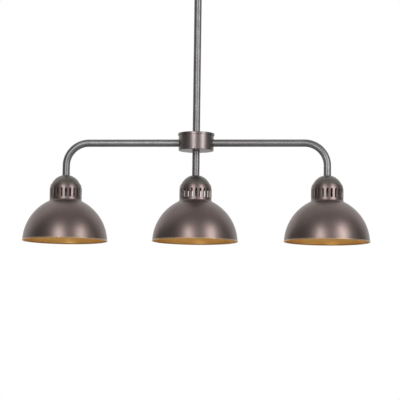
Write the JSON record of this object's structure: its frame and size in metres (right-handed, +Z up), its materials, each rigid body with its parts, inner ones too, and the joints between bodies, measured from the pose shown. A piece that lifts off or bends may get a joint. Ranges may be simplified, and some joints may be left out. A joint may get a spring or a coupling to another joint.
{
  "type": "pendant light",
  "caption": "Straight bar pendant: a stem on a turning and tilting ceiling swivel, a drum hub, bent arms and vented dome shades.",
  "frame": {"origin": "centre of the ceiling plate's top face, on the ceiling's plane and on the stem's axis", "axes": "+X along the arms, +Y to the back, +Z up to the ceiling"},
  "size_m": [0.81, 0.2, 0.6699],
  "materials": {
    "bronze": "dark oil-rubbed bronze lacquer over steel, satin",
    "bronze_tube": "dark bronze lacquer over drawn tube, satin, faint draw marks along the tube",
    "bronze_hub": "dark bronze lacquer over turned steel, satin gloss",
    "shade_bronze": "dark bronze lacquer over spun sheet, satin, brushed round the axis",
    "shade_gold": "gold lacquer inside the shades, satin",
    "zinc_steel": "zinc plated",
    "brass": "plain machined brass",
    "black_phenolic": "moulded phenolic, satin",
    "porcelain": "glazed white insulating core",
    "white_plastic": "moulded nylon, matt",
    "lead_sheath": "black flexible sheath"
  },
  "bodies": {
    "ceiling": {"ceiling_plate": "zinc_steel", "canopy": "bronze", "canopy_screws": "bronze", "plate_screws": "brass", "terminal_block": "white_plastic", "terminal_clamps": "brass", "canopy_lead": "lead_sheath", "swivel_bush": "bronze", "bush_washer": "zinc_steel", "bush_nut": "zinc_steel"},
    "swivel": {"swivel_yoke": "bronze", "yoke_washer": "zinc_steel", "yoke_nut": "zinc_steel"},
    "lamp": {"stem_eye": "bronze", "pivot_screws": "bronze", "pivot_washers": "zinc_steel", "stem_tube": "bronze_tube", "stem_cable": "lead_sheath", "hub_body": "bronze_hub", "hub_lid": "bronze_hub", "hub_rod": "zinc_steel", "tube_bushes": "brass", "arm_nipples": "zinc_steel", "arm_washers": "zinc_steel", "arm_nuts": "zinc_steel", "hub_connectors": "white_plastic", "left_arm": "bronze_tube", "right_arm": "bronze_tube", "centre_drop": "bronze_tube", "left_leads": "lead_sheath", "centre_leads": "lead_sheath", "right_leads": "lead_sheath", "head_nipples": "zinc_steel", "head_washers": "zinc_steel", "head_nuts": "brass", "left_cap": "bronze", "centre_cap": "bronze", "right_cap": "bronze", "left_shade": "shade_bronze", "centre_shade": "shade_bronze", "right_shade": "shade_bronze", "left_clamp_plate": "zinc_steel", "centre_clamp_plate": "zinc_steel", "right_clamp_plate": "zinc_steel", "left_holder_cover": "black_phenolic", "centre_holder_cover": "black_phenolic", "right_holder_cover": "black_phenolic", "left_holder_body": "black_phenolic", "centre_holder_body": "black_phenolic", "right_holder_body": "black_phenolic", "left_holder_core": "porcelain", "centre_holder_core": "porcelain", "right_holder_core": "porcelain", "left_screw_shell": "brass", "centre_screw_shell": "brass", "right_screw_shell": "brass", "left_contact": "brass", "centre_contact": "brass", "right_contact": "brass"}
  },
  "joints": [
    {"name": "stem_turn", "type": "hinge", "parent": "ceiling", "child": "swivel", "pos_m": [0, 0, -0.0377], "axis": [0, 0, 1], "range_deg": [-160, 160]},
    {"name": "stem_tilt", "type": "hinge", "parent": "swivel", "child": "lamp", "pos_m": [0, 0, -0.0537], "axis": [1, 0, 0], "range_deg": [-45, 45]}
  ]
}
